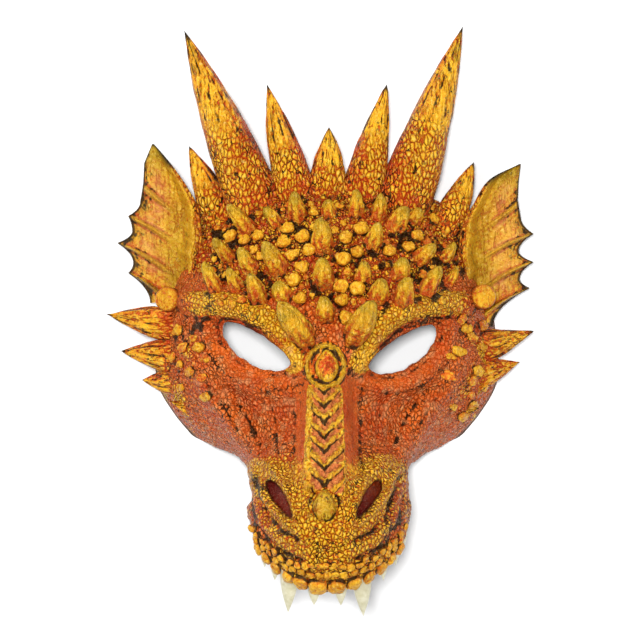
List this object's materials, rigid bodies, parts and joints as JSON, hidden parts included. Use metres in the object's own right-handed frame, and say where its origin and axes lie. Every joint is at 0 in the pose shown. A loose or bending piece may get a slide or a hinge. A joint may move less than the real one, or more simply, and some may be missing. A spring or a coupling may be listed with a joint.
{
  "type": "dragon mask",
  "caption": "Horned half-face dragon costume mask moulded in foam, with finned ears, cheek spikes, a ridged snout, eye holes and hanging upper teeth.",
  "frame": {"origin": "centre of the mask's footprint, on the plane of its back rim, which it lies on", "axes": "+Z from the back rim out of the face, +Y from the lip up to the horns, +X across the face, to the right as it is looked at"},
  "size_m": [0.2392, 0.321, 0.1173],
  "materials": {
    "painted_foam": "hand-painted, golden yellow over orange-red, black wash in the hollows, satin"
  },
  "bodies": {
    "root": {"mask": "painted_foam"}
  },
  "joints": []
}
